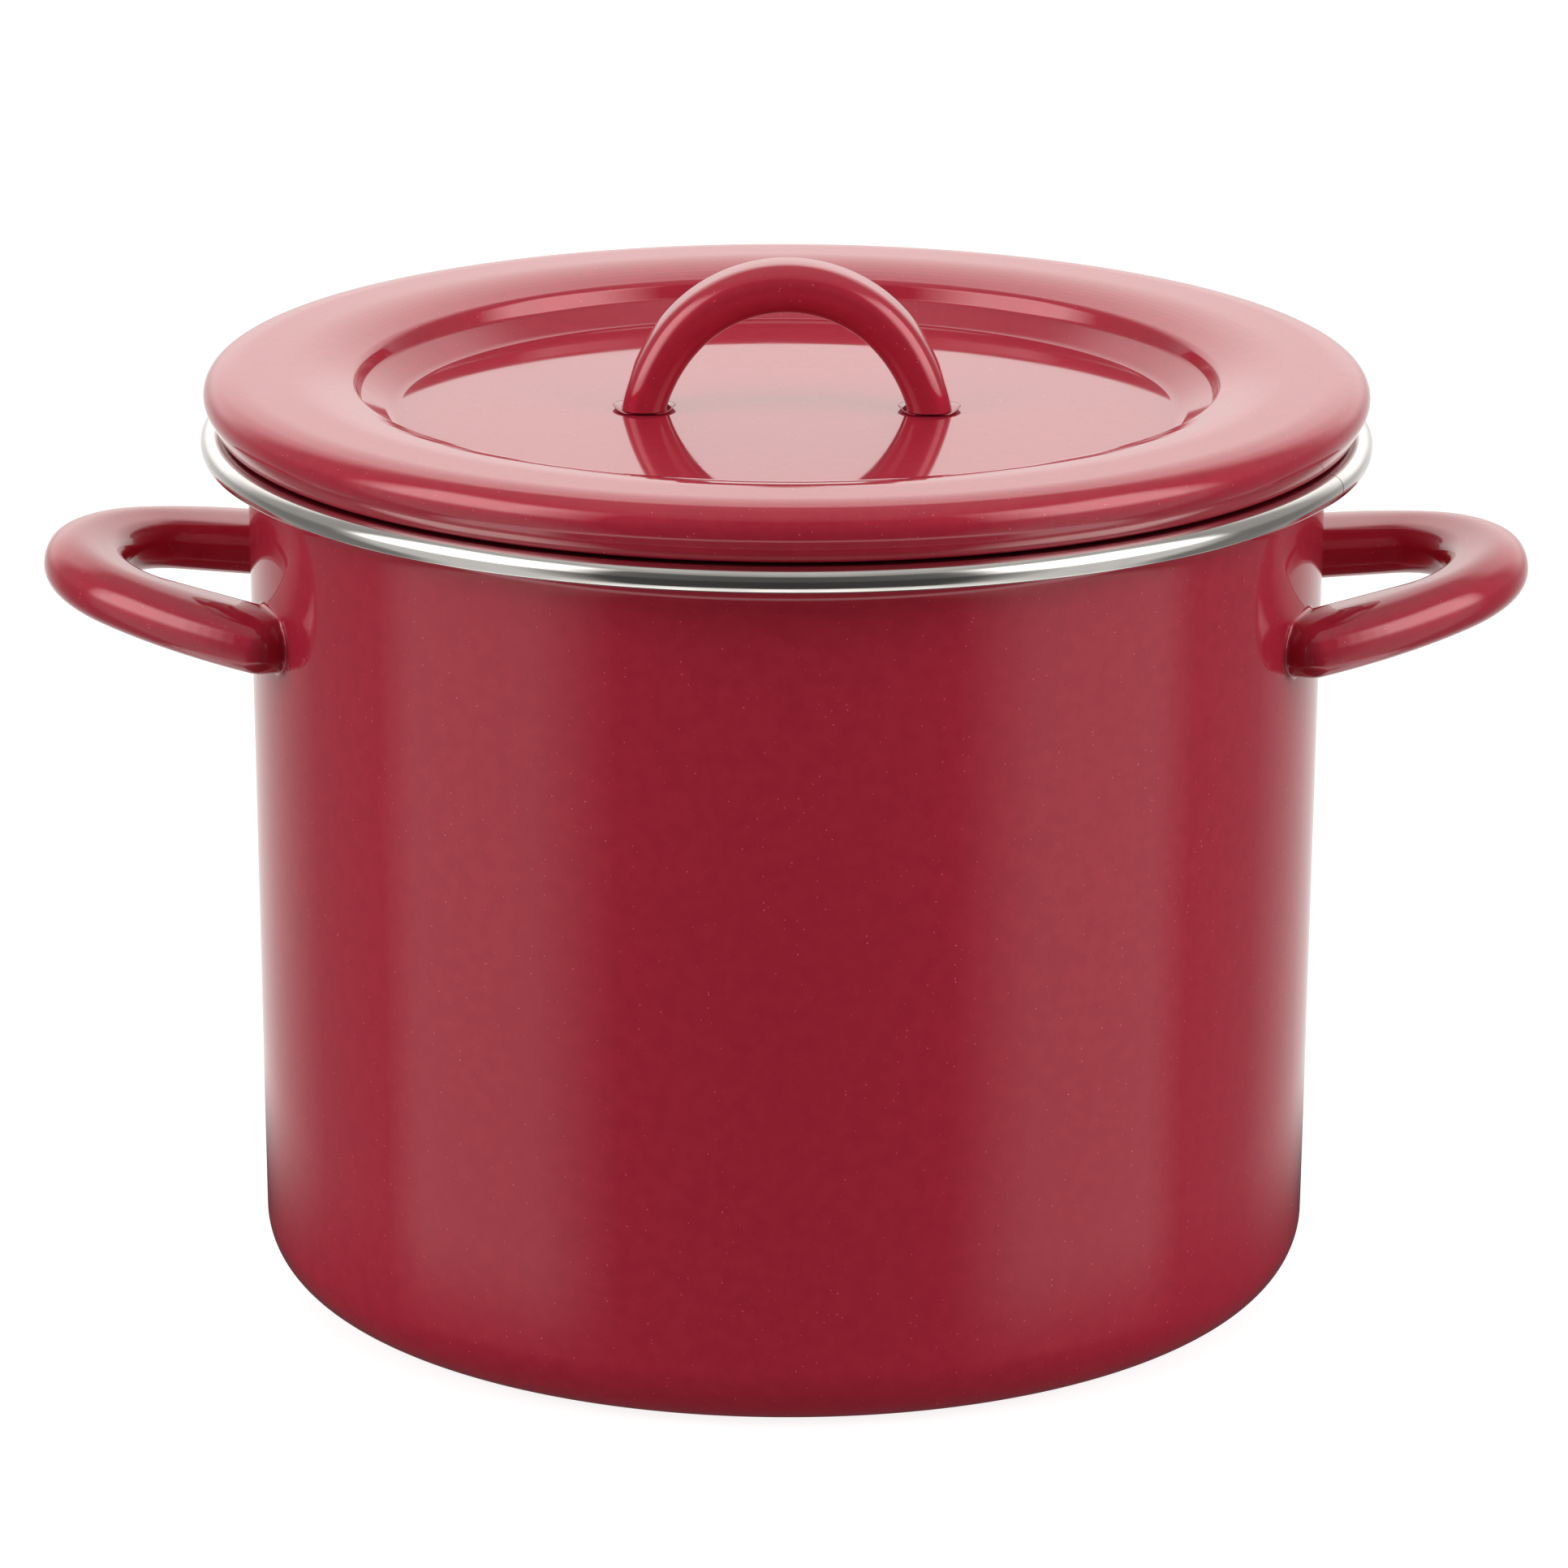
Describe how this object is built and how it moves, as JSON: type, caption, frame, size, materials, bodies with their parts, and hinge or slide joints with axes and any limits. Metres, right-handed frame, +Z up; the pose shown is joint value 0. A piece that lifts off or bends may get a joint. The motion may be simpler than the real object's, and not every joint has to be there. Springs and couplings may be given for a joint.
{
  "type": "stock pot",
  "caption": "Tall enamelled steel pot with loop handles at its sides, a stainless rim band and a lift-off lid with a bow handle in its recess, for boiling stock or soup.",
  "frame": {"origin": "on the floor under the pot, on the pot's axis", "axes": "+Z up along the pot's axis; the side handles point along +X and -X; +Y away from the front"},
  "size_m": [0.366, 0.2872, 0.2563],
  "materials": {
    "red_enamel": "gloss",
    "dark_enamel": "gloss",
    "stainless": "polished"
  },
  "bodies": {
    "pot": {"pot_shell": "red_enamel", "pot_lining": "dark_enamel", "rim_band": "stainless", "left_handle": "red_enamel", "right_handle": "red_enamel", "left_handle_front_weld": "red_enamel", "left_handle_rear_weld": "red_enamel", "right_handle_front_weld": "red_enamel", "right_handle_rear_weld": "red_enamel"},
    "lid": {"lid_shell": "red_enamel", "lid_lining": "dark_enamel", "lid_handle": "red_enamel", "lid_handle_left_foot": "red_enamel", "lid_handle_right_foot": "red_enamel"}
  },
  "joints": [
    {"name": "lid_lift", "type": "slide", "parent": "pot", "child": "lid", "axis": [0, 0, 1], "range_m": [0, 0.2]}
  ]
}
